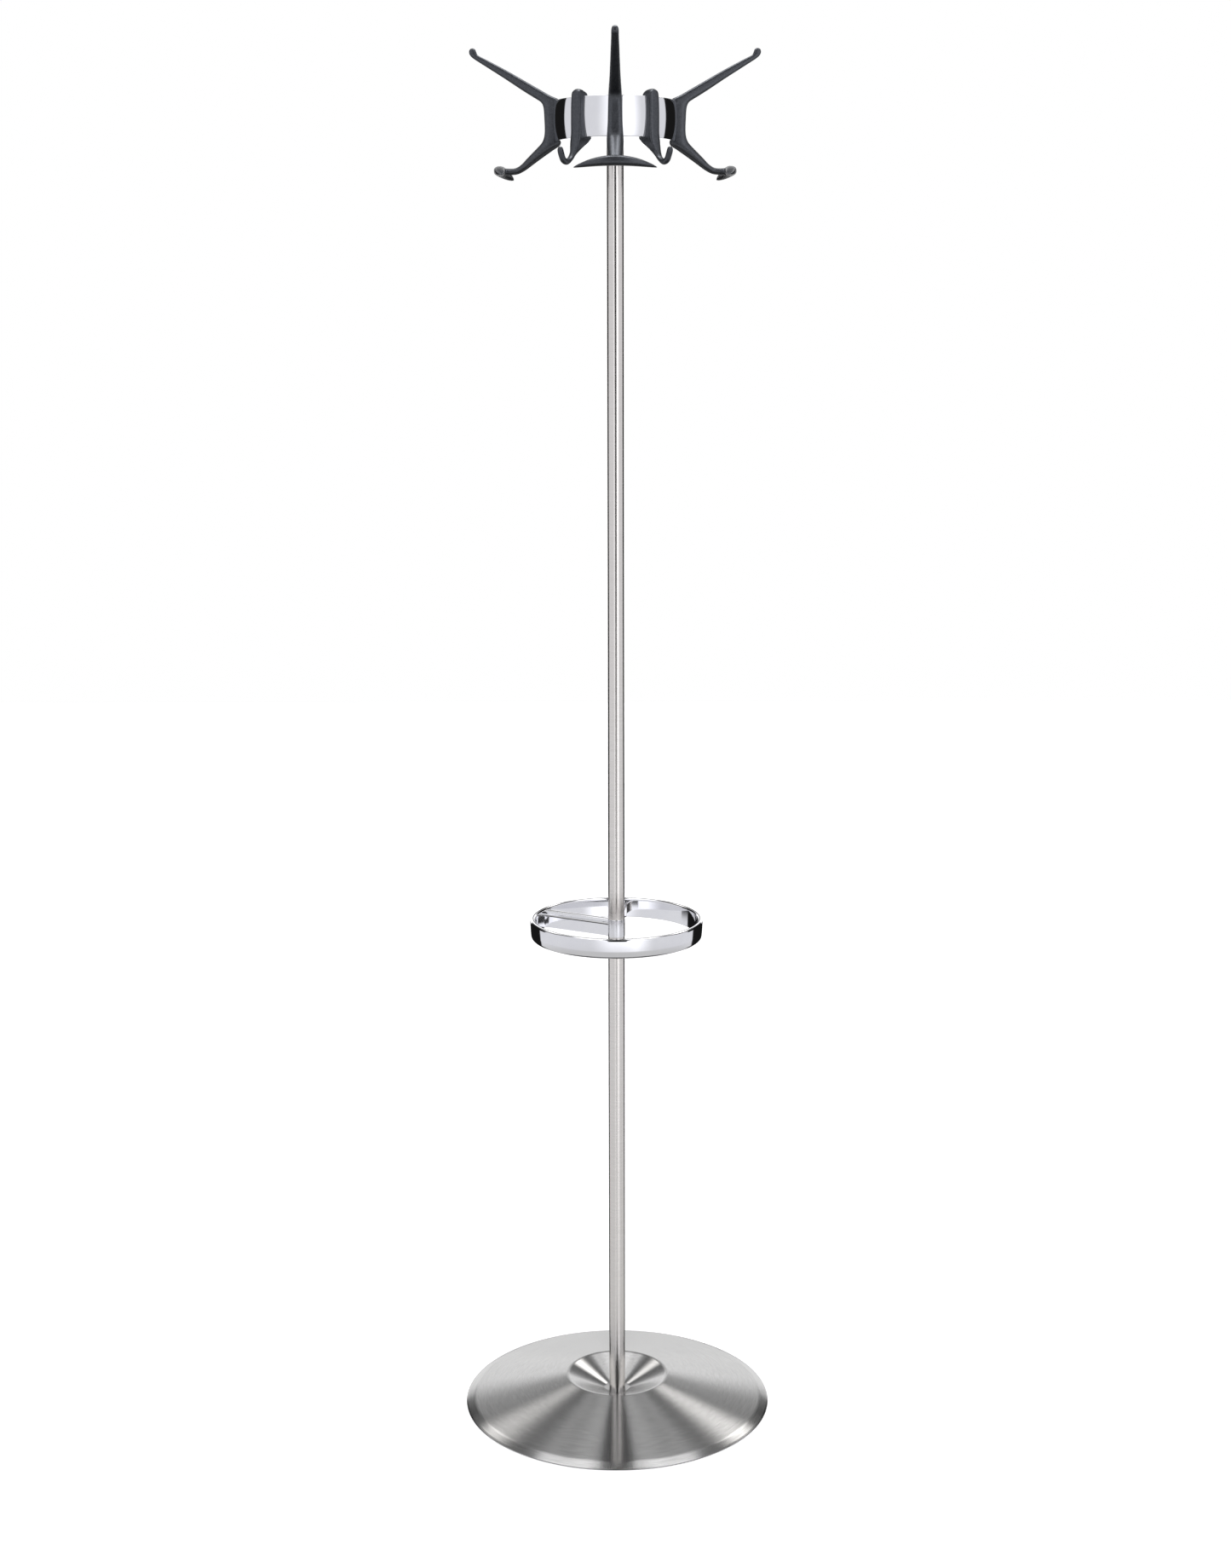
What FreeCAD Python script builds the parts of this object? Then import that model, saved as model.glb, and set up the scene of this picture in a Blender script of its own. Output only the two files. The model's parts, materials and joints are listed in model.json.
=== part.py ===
import FreeCAD, Part
import math
import os

# Standing coat rack: spun steel base, two-length tube with an umbrella ring
# clamped between the lengths, and a polished drum head that carries moulded hooks.
# Millimetres. +Z is up, the origin is the middle of the footprint on the floor,
# and -Y is the front. Azimuths are degrees from the front, positive towards +X.

os.makedirs("parts", exist_ok=True)

# ---------------------------------------------------------------- driving sizes
BASE_RADIUS = 200.0
COVER_SHEET = 1.2
COVER_CREST_R, COVER_CREST_Z = 65.0, 34.6
CREST_ROUNDING = 9.0
DISH_FLOOR_R, DISH_FLOOR_Z = 16.0, 14.0
COVER_SHOULDER_R, COVER_SHOULDER_Z = 180.0, 8.6
COVER_LIP_R, COVER_LIP_Z = 196.5, 2.6
PAD_HEIGHT = 3.0
PAD_WIDTH = 16.0
WEIGHT_RADIUS = 178.0
WEIGHT_CLEARANCE = 1.2
POCKET_RADIUS, POCKET_DEPTH = 14.0, 6.0
BASE_WASHER_RADIUS, WASHER_THICKNESS = 12.5, 1.6
BASE_BOLT_HEAD_RADIUS, BASE_BOLT_HEAD_Z = 8.5, 1.2
SOCKET_RADIUS, SOCKET_DEPTH = 4.0, 3.6

TUBE_RADIUS = 10.4
TUBE_WALL = 1.5
INSERT_LENGTH = 40.0
THREAD_RADIUS = 5.0
THREAD_PLAY = 0.1
BOLT_ENGAGEMENT = 28.0
HOLE_PLAY = 0.6

RING_OUTER_R = 110.0
RING_WALL = 6.5
RING_LOWER_ROUNDING = 3.0
RING_BOTTOM_Z, RING_TOP_Z = 632.4, 656.4
HUB_RADIUS = 10.8
HUB_BOTTOM_Z, HUB_TOP_Z = 631.8, 655.0
SPOKE_THICKNESS = 10.0
SPOKE_BOTTOM_Z, SPOKE_TOP_Z = 632.8, 654.6
SPOKE_AZIMUTHS = (-119.0, 175.0)

DRUM_BOTTOM_Z, DRUM_TOP_Z = 1608.5, 1654.5
DRUM_MIDDLE_Z = 1635.0
DRUM_R_BOTTOM, DRUM_R_MIDDLE, DRUM_R_TOP = 71.1, 73.8, 72.4
DRUM_WALL = 2.0
PLATE_Z = DRUM_BOTTOM_Z + 0.4
CORE_FLOOR_Z = DRUM_BOTTOM_Z + 4.0
CORE_FLANGE_Z = CORE_FLOOR_Z + 4.0
TUBE_TOP_Z = 1636.0
BOSS_RADIUS, BOSS_TOP_Z = 17.0, TUBE_TOP_Z + 14.0
BOSS_FLOOR_Z = TUBE_TOP_Z + 5.0
RIB_LENGTH, RIB_THICKNESS, RIB_HEIGHT = 45.0, 4.0, 12.0
HEAD_WASHER_RADIUS = 10.0
HEAD_BOLT_HEAD_RADIUS, HEAD_BOLT_HEAD_HEIGHT = 8.0, 6.4
PLATE_SCREW_CIRCLE_R = 40.0
PLATE_SCREW_RADIUS, PLATE_SCREW_LENGTH = 1.9, 6.4
PLATE_SCREW_HEAD_RADIUS, PLATE_SCREW_HEAD_HEIGHT = 3.8, 2.6
LID_SHEET = 1.4

LARGE_HOOK_AZIMUTHS = {"front_hook": 0.0, "left_hook": -95.0, "right_hook": 95.0}
SMALL_HOOK_AZIMUTHS = {"small_left_hook": -35.5, "small_right_hook": 35.5}
HOOK_SEAT_GAP = 0.15
HOOK_SCREW_HEIGHTS = (1621.0, 1644.0)
HOOK_SCREW_RADIUS, HOOK_SCREW_TIP_R = 2.4, 78.2
HOOK_SCREW_HEAD_RADIUS, HOOK_SCREW_HEAD_HEIGHT = 4.4, 2.8


# ---------------------------------------------------------------- small helpers
def up(z):
    return FreeCAD.Vector(0, 0, z)


def rz(r, z):
    """A point of a half-section: r out from the axis, z up."""
    return FreeCAD.Vector(r, 0, z)


def disc(radius, z_low, z_high):
    return Part.makeCylinder(radius, z_high - z_low, up(z_low))


def washer(outer, inner, z_low, z_high):
    return disc(outer, z_low, z_high).cut(disc(inner, z_low - 1, z_high + 1))


def spaced_round(radius, first_angle, count):
    """The (x, y) places of count points spaced evenly round a circle."""
    angles = [math.radians(first_angle + 360.0 * i / count) for i in range(count)]
    return [(radius * math.cos(a), radius * math.sin(a)) for a in angles]


def rounded_path(corners):
    """Edges through (r, z, corner radius) points, with a tangent arc at each inner corner."""
    points = [rz(r, z) for r, z, _ in corners]
    edges, start = [], points[0]
    for i in range(1, len(points) - 1):
        back = (points[i - 1] - points[i]).normalize()
        ahead = (points[i + 1] - points[i]).normalize()
        radius = corners[i][2]
        half = math.acos(max(-1.0, min(1.0, back.dot(ahead)))) / 2
        reach = radius / math.tan(half)
        first = points[i] + back * reach
        last = points[i] + ahead * reach
        bisector = (back + ahead).normalize()
        middle = points[i] + bisector * (radius / math.sin(half) - radius)
        edges.append(Part.LineSegment(start, first).toShape())
        edges.append(Part.Arc(first, middle, last).toShape())
        start = last
    edges.append(Part.LineSegment(start, points[-1]).toShape())
    return edges


def revolved(edges):
    """A solid of revolution about Z from the edges of a closed half-section."""
    face = Part.Face(Part.Wire(Part.__sortEdges__(edges)))
    return face.revolve(up(0), up(1), 360)


def closed_section(points):
    """A closed straight-sided half-section from (r, z) pairs."""
    corners = [rz(r, z) for r, z in points]
    return Part.makePolygon(corners + corners[:1]).Edges


def at_azimuth(shape, azimuth):
    """Turns a shape that was made along +X so that it points to the given azimuth."""
    turned = shape.copy()
    turned.rotate(up(0), up(1), azimuth - 90.0)
    return turned


def save(name, shape):
    shape.exportStep(f"parts/{name}.step")


# ---------------------------------------------------------------- base
def cover_corners(drop):
    """The cover's upper line, lowered by drop, from the bolt hole to the rim."""
    return [
        (THREAD_RADIUS + HOLE_PLAY, DISH_FLOOR_Z - drop, 0),
        (DISH_FLOOR_R, DISH_FLOOR_Z - drop, 7.0),
        (COVER_CREST_R, COVER_CREST_Z - drop, CREST_ROUNDING),
        (COVER_SHOULDER_R, COVER_SHOULDER_Z - drop, 60.0),
        (COVER_LIP_R - 0.4 * drop, COVER_LIP_Z - 0.6 * drop, 6.0),
        (BASE_RADIUS - drop, 0.4, 0),
    ]


def base_cover():
    upper = rounded_path(cover_corners(0))
    lower = rounded_path(cover_corners(COVER_SHEET))
    inner_end = Part.LineSegment(upper[0].Vertexes[0].Point, lower[0].Vertexes[0].Point)
    outer_end = Part.LineSegment(upper[-1].Vertexes[1].Point, lower[-1].Vertexes[1].Point)
    return revolved(upper + lower + [inner_end.toShape(), outer_end.toShape()])


def base_weight():
    """The cast disc that fills the cover, with a pocket below for the bolt's head."""
    gap = COVER_SHEET + WEIGHT_CLEARANCE
    slope = (COVER_SHOULDER_Z - COVER_CREST_Z) / (COVER_SHOULDER_R - COVER_CREST_R)
    rim_z = COVER_CREST_Z - gap + slope * (WEIGHT_RADIUS - COVER_CREST_R)
    body = revolved(closed_section([
        (0, PAD_HEIGHT),
        (WEIGHT_RADIUS, PAD_HEIGHT),
        (WEIGHT_RADIUS, rim_z),
        (COVER_CREST_R, COVER_CREST_Z - gap),
        (DISH_FLOOR_R + 5.0, DISH_FLOOR_Z - COVER_SHEET),
        (0, DISH_FLOOR_Z - COVER_SHEET),
    ]))
    pocket = disc(POCKET_RADIUS, PAD_HEIGHT - 1, PAD_HEIGHT + POCKET_DEPTH)
    return body.cut(pocket).cut(disc(THREAD_RADIUS + HOLE_PLAY, 0, COVER_CREST_Z))


def base_rubber_ring():
    outer = WEIGHT_RADIUS - 2.0
    return washer(outer, outer - PAD_WIDTH, 0, PAD_HEIGHT)


def base_washer():
    top = PAD_HEIGHT + POCKET_DEPTH
    return washer(BASE_WASHER_RADIUS, THREAD_RADIUS + 0.3, top - WASHER_THICKNESS, top)


def base_bolt():
    """A cheese-head bolt with a hexagon socket, up through the weight into the tube."""
    head_top = PAD_HEIGHT + POCKET_DEPTH - WASHER_THICKNESS
    head = disc(BASE_BOLT_HEAD_RADIUS, BASE_BOLT_HEAD_Z, head_top)
    corners = [
        FreeCAD.Vector(x, y, BASE_BOLT_HEAD_Z)
        for x, y in spaced_round(SOCKET_RADIUS, 0, 6)
    ]
    socket = Part.Face(Part.makePolygon(corners + corners[:1])).extrude(up(SOCKET_DEPTH))
    shank = disc(THREAD_RADIUS - THREAD_PLAY, head_top, DISH_FLOOR_Z + BOLT_ENGAGEMENT)
    return head.fuse(shank).cut(socket)


# ---------------------------------------------------------------- tube and umbrella ring
def tube(z_low, z_high):
    return washer(TUBE_RADIUS, TUBE_RADIUS - TUBE_WALL, z_low, z_high)


def tube_insert(z_low, z_high):
    """A threaded plug pressed into a tube's end."""
    return washer(TUBE_RADIUS - TUBE_WALL, THREAD_RADIUS, z_low, z_high)


def joining_stud():
    return disc(THREAD_RADIUS - THREAD_PLAY, HUB_BOTTOM_Z - 30.0, HUB_TOP_Z + 30.0)


def ring_spoke():
    """One flat spoke along +X with a rounded top edge, from the hub into the band."""
    half = SPOKE_THICKNESS / 2
    reach = RING_OUTER_R - RING_WALL / 2
    start = HUB_RADIUS - 3.0
    web = Part.makeBox(
        reach - start, SPOKE_THICKNESS, SPOKE_TOP_Z - half - SPOKE_BOTTOM_Z,
        FreeCAD.Vector(start, -half, SPOKE_BOTTOM_Z))
    crown = Part.makeCylinder(
        half, reach - start, FreeCAD.Vector(start, 0, SPOKE_TOP_Z - half), FreeCAD.Vector(1, 0, 0))
    return web.fuse(crown)


def umbrella_ring():
    """Band, hub and two spokes as one casting."""
    inner = RING_OUTER_R - RING_WALL
    crown = RING_WALL / 2 - 0.05
    band = revolved(rounded_path([
        (inner + RING_WALL / 2, RING_BOTTOM_Z, 0),
        (RING_OUTER_R, RING_BOTTOM_Z, RING_LOWER_ROUNDING),
        (RING_OUTER_R, RING_TOP_Z, crown),
        (inner, RING_TOP_Z, crown),
        (inner, RING_BOTTOM_Z, RING_LOWER_ROUNDING),
        (inner + RING_WALL / 2, RING_BOTTOM_Z, 0),
    ]))
    body = band.fuse(disc(HUB_RADIUS, HUB_BOTTOM_Z, HUB_TOP_Z))
    for azimuth in SPOKE_AZIMUTHS:
        body = body.fuse(at_azimuth(ring_spoke(), azimuth))
    return body.cut(disc(THREAD_RADIUS + 0.2, 0, RING_TOP_Z + 10)).removeSplitter()


# ---------------------------------------------------------------- drum head
def drum_radius(z):
    """The barrel's outer radius at a height, on the parabola through its three radii."""
    heights = (DRUM_BOTTOM_Z, DRUM_MIDDLE_Z, DRUM_TOP_Z)
    radii = (DRUM_R_BOTTOM, DRUM_R_MIDDLE, DRUM_R_TOP)
    total = 0.0
    for i in range(3):
        term = radii[i]
        for j in range(3):
            if j != i:
                term *= (z - heights[j]) / (heights[i] - heights[j])
        total += term
    return total


def barrel(inset, z_low, z_high):
    """A solid barrel, inset from the drum's outer surface (a negative inset stands proud)."""
    middle = (z_low + z_high) / 2
    ends = [rz(drum_radius(z) - inset, z) for z in (z_low, middle, z_high)]
    side = Part.Arc(*ends).toShape()
    rest = Part.makePolygon([ends[2], rz(0, z_high), rz(0, z_low), ends[0]]).Edges
    return revolved([side] + rest)


def hook_screw_places():
    """(azimuth, height) of each screw that holds a hook to the shell."""
    azimuths = list(LARGE_HOOK_AZIMUTHS.values()) + list(SMALL_HOOK_AZIMUTHS.values())
    return [(azimuth, z) for azimuth in azimuths for z in HOOK_SCREW_HEIGHTS]


def radial_pin(radius, r_low, r_high, azimuth, z):
    pin = Part.makeCylinder(
        radius, r_high - r_low, FreeCAD.Vector(r_low, 0, z), FreeCAD.Vector(1, 0, 0))
    return at_azimuth(pin, azimuth)


def drum_shell():
    """The polished barrel wall, open at both ends, drilled for the hook screws."""
    wall = barrel(0, DRUM_BOTTOM_Z, DRUM_TOP_Z)
    rims = [e for e in wall.Edges if e.Length > 2 * math.pi * DRUM_R_BOTTOM * 0.9]
    wall = wall.makeFillet(0.9, rims)
    hollow = barrel(DRUM_WALL, DRUM_BOTTOM_Z - 1, DRUM_TOP_Z + 1)
    wall = wall.cut(hollow)
    for azimuth, z in hook_screw_places():
        wall = wall.cut(radial_pin(HOOK_SCREW_RADIUS + 0.3, 60, 80, azimuth, z))
    return wall


def drum_bottom_plate():
    radius = drum_radius(PLATE_Z) - DRUM_WALL
    plate = washer(radius, TUBE_RADIUS + 0.15, PLATE_Z, CORE_FLOOR_Z)
    for x, y in plate_screw_places():
        hole = Part.makeCylinder(
            PLATE_SCREW_RADIUS + THREAD_PLAY, 10, FreeCAD.Vector(x, y, PLATE_Z + 1.0))
        plate = plate.cut(hole)
    return plate


def plate_screw_places():
    return spaced_round(PLATE_SCREW_CIRCLE_R, 90, 3)


def head_core():
    """The cast centre: a socket for the tube's end on a flange pressed into the shell."""
    flange = disc(drum_radius(CORE_FLOOR_Z) - DRUM_WALL, CORE_FLOOR_Z, CORE_FLANGE_Z)
    boss = disc(BOSS_RADIUS, CORE_FLOOR_Z, BOSS_TOP_Z)
    core = flange.fuse(boss)
    for angle in (30, 150, 270):
        rib = Part.makeBox(
            RIB_LENGTH, RIB_THICKNESS, RIB_HEIGHT,
            FreeCAD.Vector(TUBE_RADIUS, -RIB_THICKNESS / 2, CORE_FLANGE_Z - 2))
        rib.rotate(up(0), up(1), angle)
        core = core.fuse(rib)
    core = core.cut(disc(TUBE_RADIUS + 0.1, CORE_FLOOR_Z - 1, TUBE_TOP_Z))
    core = core.cut(disc(THREAD_RADIUS + 0.4, 0, BOSS_TOP_Z + 1))
    core = core.cut(disc(HEAD_WASHER_RADIUS + 1.5, BOSS_FLOOR_Z, BOSS_TOP_Z + 1))
    for x, y in plate_screw_places():
        core = core.cut(Part.makeCylinder(
            PLATE_SCREW_RADIUS + 0.3, 40, FreeCAD.Vector(x, y, CORE_FLOOR_Z - 1)))
    return core.removeSplitter()


def head_washer():
    return washer(
        HEAD_WASHER_RADIUS, THREAD_RADIUS + 0.3, BOSS_FLOOR_Z, BOSS_FLOOR_Z + WASHER_THICKNESS)


def head_bolt():
    seat = BOSS_FLOOR_Z + WASHER_THICKNESS
    head = disc(HEAD_BOLT_HEAD_RADIUS, seat, seat + HEAD_BOLT_HEAD_HEIGHT)
    return head.fuse(disc(THREAD_RADIUS - THREAD_PLAY, TUBE_TOP_Z - BOLT_ENGAGEMENT, seat))


def drum_plate_screws():
    screws = []
    for x, y in plate_screw_places():
        shank = Part.makeCylinder(
            PLATE_SCREW_RADIUS, PLATE_SCREW_LENGTH,
            FreeCAD.Vector(x, y, CORE_FLANGE_Z - PLATE_SCREW_LENGTH))
        head = Part.makeCylinder(
            PLATE_SCREW_HEAD_RADIUS, PLATE_SCREW_HEAD_HEIGHT, FreeCAD.Vector(x, y, CORE_FLANGE_Z))
        screws.append(head.fuse(shank))
    return Part.makeCompound(screws)


def drum_lid():
    """A pressed lid: a flat margin under the hooks' lips and a shallow dome inside it."""
    radius = drum_radius(DRUM_TOP_Z - 1.0) - DRUM_WALL - 0.1
    margin_z = DRUM_TOP_Z - 0.6
    upper = rounded_path([
        (radius, margin_z - 6.0, 0),
        (radius, margin_z, 1.6),
        (58.0, margin_z, 1.5),
        (55.5, margin_z + 1.6, 2.0),
        (25.0, margin_z + 3.4, 120.0),
        (0, margin_z + 3.6, 0),
    ])
    lower = rounded_path([
        (radius - LID_SHEET, margin_z - 6.0, 0),
        (radius - LID_SHEET, margin_z - LID_SHEET, 0.6),
        (57.4, margin_z - LID_SHEET, 1.0),
        (54.9, margin_z + 0.2, 2.0),
        (25.0, margin_z + 2.0, 120.0),
        (0, margin_z + 2.2, 0),
    ])
    ends = [
        Part.LineSegment(upper[0].Vertexes[0].Point, lower[0].Vertexes[0].Point).toShape(),
        Part.LineSegment(upper[-1].Vertexes[1].Point, lower[-1].Vertexes[1].Point).toShape(),
    ]
    return revolved(upper + lower + ends)


# ---------------------------------------------------------------- hooks
def oval(outer, inner, width, squareness=2.5, count=16):
    """A closed superellipse wire whose thickness spans outer to inner, (r, z) pairs, along +X."""
    first, second = rz(*outer), rz(*inner)
    middle, half = (first + second) * 0.5, (first - second) * 0.5
    points = []
    for i in range(count):
        angle = 2 * math.pi * i / count
        c, s = math.cos(angle), math.sin(angle)
        across = math.copysign(abs(c) ** (2 / squareness), c)
        along = math.copysign(abs(s) ** (2 / squareness), s)
        points.append(middle + half * across + FreeCAD.Vector(0, along * width / 2, 0))
    curve = Part.BSplineCurve()
    curve.interpolate(Points=points, PeriodicFlag=True)
    return Part.Wire(curve.toShape())


def limb(stations):
    """A smooth solid through (outer, inner, width) stations."""
    return Part.makeLoft([oval(*station) for station in stations], True, False, False)


# Stations of the large hook, from the knob down to the neck of its saddle. The outer
# points face the room and the inner ones face the drum, which is cut away afterwards.
LARGE_LIMB = [
    ((171.4, 1717.4), (169.3, 1717.5), 2.4),
    ((173.4, 1715.8), (167.0, 1716.2), 6.4),
    ((174.2, 1712.6), (165.6, 1713.0), 8.4),
    ((172.5, 1708.6), (164.6, 1710.4), 8.7),
    ((167.6, 1704.6), (162.2, 1708.4), 8.8),
    ((154.5, 1696.4), (150.5, 1702.6), 9.6),
    ((132.0, 1682.4), (127.2, 1690.4), 11.0),
    ((110.0, 1668.2), (104.2, 1677.5), 12.6),
    ((97.5, 1660.6), (89.6, 1669.3), 14.0),
    ((89.2, 1655.4), (76.6, 1662.0), 15.2),
    ((86.1, 1650.8), (67.0, 1657.6), 15.8),
    ((85.0, 1645.4), (65.0, 1651.0), 16.2),
    ((84.4, 1636.0), (66.0, 1636.0), 16.8),
    ((84.0, 1624.0), (66.0, 1624.0), 17.4),
    ((84.6, 1615.4), (65.0, 1611.6), 18.6),
    ((87.2, 1609.0), (64.4, 1605.6), 19.6),
    ((91.4, 1604.2), (72.6, 1600.6), 20.0),
    ((98.0, 1597.8), (88.0, 1590.6), 19.2),
    ((105.6, 1590.4), (98.6, 1583.2), 17.2),
    ((112.6, 1583.4), (107.6, 1576.9), 15.0),
    ((119.6, 1579.4), (116.6, 1572.4), 13.6),
    ((127.0, 1577.8), (126.0, 1573.0), 14.6),
    ((135.0, 1578.0), (135.0, 1572.0), 16.0),
]

SADDLE_HALF_LENGTH = 48.4
SADDLE_CENTRE_R = 138.2
SADDLE_SWEEP = 8.0
SADDLE_TOP_Z, SADDLE_BOTTOM_Z = 1581.5, 1569.8
SADDLE_TOP_DROOP, SADDLE_BOTTOM_DROOP = 12.2, 2.2
SADDLE_DEPTH = 13.4


def saddle():
    """The crossbar of a large hook: a crescent seen from the front, drooping to its ends."""
    wires = []
    for share in (-1.0, -0.975, -0.88, -0.7, -0.45, -0.2, 0, 0.2, 0.45, 0.7, 0.88, 0.975, 1.0):
        top = SADDLE_TOP_Z - SADDLE_TOP_DROOP * share ** 2
        bottom = SADDLE_BOTTOM_Z - SADDLE_BOTTOM_DROOP * share ** 2
        depth = SADDLE_DEPTH * max(0.12, (1 - abs(share) ** 5) ** 0.5)
        squeeze = max(0.25, (1 - share ** 12) ** 0.5)
        middle_z, half_z = (top + bottom) / 2, (top - bottom) / 2 * squeeze
        centre_r = SADDLE_CENTRE_R - SADDLE_SWEEP * share ** 2
        points = []
        for i in range(16):
            angle = 2 * math.pi * i / 16
            r = centre_r + depth / 2 * math.cos(angle)
            z = middle_z + half_z * math.sin(angle) + 0.06 * half_z * math.cos(angle)
            points.append(FreeCAD.Vector(r, SADDLE_HALF_LENGTH * share, z))
        curve = Part.BSplineCurve()
        curve.interpolate(Points=points, PeriodicFlag=True)
        wires.append(Part.Wire(curve.toShape()))
    return Part.makeLoft(wires, True, False, False)


# Stations of the small hook, from the top of its lip down and round to the J's tip.
SMALL_LIMB = [
    ((75.6, 1661.7), (71.0, 1661.6), 5.0),
    ((78.2, 1660.4), (68.8, 1660.2), 10.6),
    ((79.8, 1657.6), (65.8, 1657.4), 13.6),
    ((80.4, 1653.0), (64.8, 1653.0), 15.0),
    ((81.0, 1640.0), (65.4, 1640.0), 15.8),
    ((81.0, 1624.0), (64.0, 1624.0), 16.4),
    ((81.4, 1612.0), (58.6, 1610.6), 16.6),
    ((83.0, 1603.6), (64.6, 1602.8), 15.0),
    ((85.4, 1596.4), (73.4, 1596.0), 12.0),
    ((88.4, 1589.6), (81.4, 1588.2), 9.4),
    ((92.0, 1584.8), (88.0, 1581.2), 7.6),
    ((97.2, 1582.6), (96.6, 1575.8), 7.0),
    ((101.6, 1584.2), (105.4, 1578.2), 7.0),
    ((103.9, 1588.4), (110.5, 1586.2), 7.0),
    ((105.4, 1592.0), (112.2, 1591.0), 6.8),
    ((106.6, 1594.4), (111.6, 1594.0), 5.2),
    ((108.2, 1595.4), (110.2, 1595.3), 2.2),
]


def seated(hook):
    """Cuts the drum's space, with a hair's gap, and the blind screw holes out of a hook."""
    hook = hook.cut(barrel(-HOOK_SEAT_GAP, DRUM_BOTTOM_Z - HOOK_SEAT_GAP,
                           DRUM_TOP_Z + HOOK_SEAT_GAP))
    for z in HOOK_SCREW_HEIGHTS:
        hole = Part.makeCylinder(
            HOOK_SCREW_RADIUS + 0.1, 20, FreeCAD.Vector(58.7, 0, z), FreeCAD.Vector(1, 0, 0))
        hook = hook.cut(hole)
    return max(hook.Solids, key=lambda solid: solid.Volume)


def large_hook():
    return seated(limb(LARGE_LIMB).fuse(saddle()))


def small_hook():
    return seated(limb(SMALL_LIMB))


def hook_screws():
    screws = []
    for azimuth, z in hook_screw_places():
        seat = drum_radius(z) - DRUM_WALL - 0.4
        head = radial_pin(
            HOOK_SCREW_HEAD_RADIUS, seat - HOOK_SCREW_HEAD_HEIGHT, seat, azimuth, z)
        shank = radial_pin(HOOK_SCREW_RADIUS, seat, HOOK_SCREW_TIP_R, azimuth, z)
        screws.append(head.fuse(shank))
    return Part.makeCompound(screws)


# ---------------------------------------------------------------- the whole rack
def all_parts():
    parts = {
        "base_cover": base_cover(),
        "base_weight": base_weight(),
        "base_rubber_ring": base_rubber_ring(),
        "base_washer": base_washer(),
        "base_bolt": base_bolt(),
        "lower_tube": tube(DISH_FLOOR_Z, HUB_BOTTOM_Z),
        "foot_insert": tube_insert(DISH_FLOOR_Z, DISH_FLOOR_Z + INSERT_LENGTH),
        "lower_joint_insert": tube_insert(HUB_BOTTOM_Z - INSERT_LENGTH, HUB_BOTTOM_Z),
        "joining_stud": joining_stud(),
        "umbrella_ring": umbrella_ring(),
        "upper_joint_insert": tube_insert(HUB_TOP_Z, HUB_TOP_Z + INSERT_LENGTH),
        "upper_tube": tube(HUB_TOP_Z, TUBE_TOP_Z),
        "head_insert": tube_insert(TUBE_TOP_Z - INSERT_LENGTH, TUBE_TOP_Z),
        "head_core": head_core(),
        "head_washer": head_washer(),
        "head_bolt": head_bolt(),
        "drum_shell": drum_shell(),
        "drum_bottom_plate": drum_bottom_plate(),
        "drum_plate_screws": drum_plate_screws(),
        "drum_lid": drum_lid(),
        "hook_screws": hook_screws(),
    }
    large = large_hook()
    for name, azimuth in LARGE_HOOK_AZIMUTHS.items():
        parts[name] = at_azimuth(large, azimuth)
    small = small_hook()
    for name, azimuth in SMALL_HOOK_AZIMUTHS.items():
        parts[name] = at_azimuth(small, azimuth)
    return parts


for part_name, part_shape in all_parts().items():
    save(part_name, part_shape)
    box = part_shape.BoundBox
    print(part_name, "valid" if part_shape.isValid() else "INVALID", len(part_shape.Solids),
          round(part_shape.Volume / 1000, 2), "cm3", "z", round(box.ZMin, 2), round(box.ZMax, 2))
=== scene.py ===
import json
import math

import bmesh
import bpy
from mathutils import Matrix, Vector


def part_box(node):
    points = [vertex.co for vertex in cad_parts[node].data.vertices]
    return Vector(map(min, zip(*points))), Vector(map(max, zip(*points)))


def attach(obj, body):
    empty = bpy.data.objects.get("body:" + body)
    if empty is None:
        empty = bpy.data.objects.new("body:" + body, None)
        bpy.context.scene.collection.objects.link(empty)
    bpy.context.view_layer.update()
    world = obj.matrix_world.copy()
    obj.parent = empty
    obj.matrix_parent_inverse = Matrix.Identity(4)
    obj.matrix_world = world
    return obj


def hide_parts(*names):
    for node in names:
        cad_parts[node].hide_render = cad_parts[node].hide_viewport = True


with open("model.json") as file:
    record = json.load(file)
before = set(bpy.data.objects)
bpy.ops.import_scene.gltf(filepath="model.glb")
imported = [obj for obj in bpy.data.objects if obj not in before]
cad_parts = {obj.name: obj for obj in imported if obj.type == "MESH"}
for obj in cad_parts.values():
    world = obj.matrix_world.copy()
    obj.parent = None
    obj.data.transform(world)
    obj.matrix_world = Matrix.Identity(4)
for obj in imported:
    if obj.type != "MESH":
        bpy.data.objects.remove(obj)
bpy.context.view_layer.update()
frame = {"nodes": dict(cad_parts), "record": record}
MM = 0.001

# ---------------------------------------------------------------- camera
CAMERA_PLACE = (-0.0009, -2.7236, 1.3565)
CAMERA_TILT = math.radians(10.952)
CAMERA_ROLL = math.radians(-0.100)
CAMERA_LENS = 50.61


def add_camera():
    camera = bpy.data.objects.new("camera", bpy.data.cameras.new("camera"))
    bpy.context.scene.collection.objects.link(camera)
    turn = Matrix.Rotation(math.pi / 2 - CAMERA_TILT, 4, "X") @ Matrix.Rotation(CAMERA_ROLL, 4, "Z")
    camera.matrix_world = Matrix.Translation(CAMERA_PLACE) @ turn
    camera.data.lens = CAMERA_LENS
    camera.data.sensor_width = 36
    bpy.context.scene.camera = camera


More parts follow.
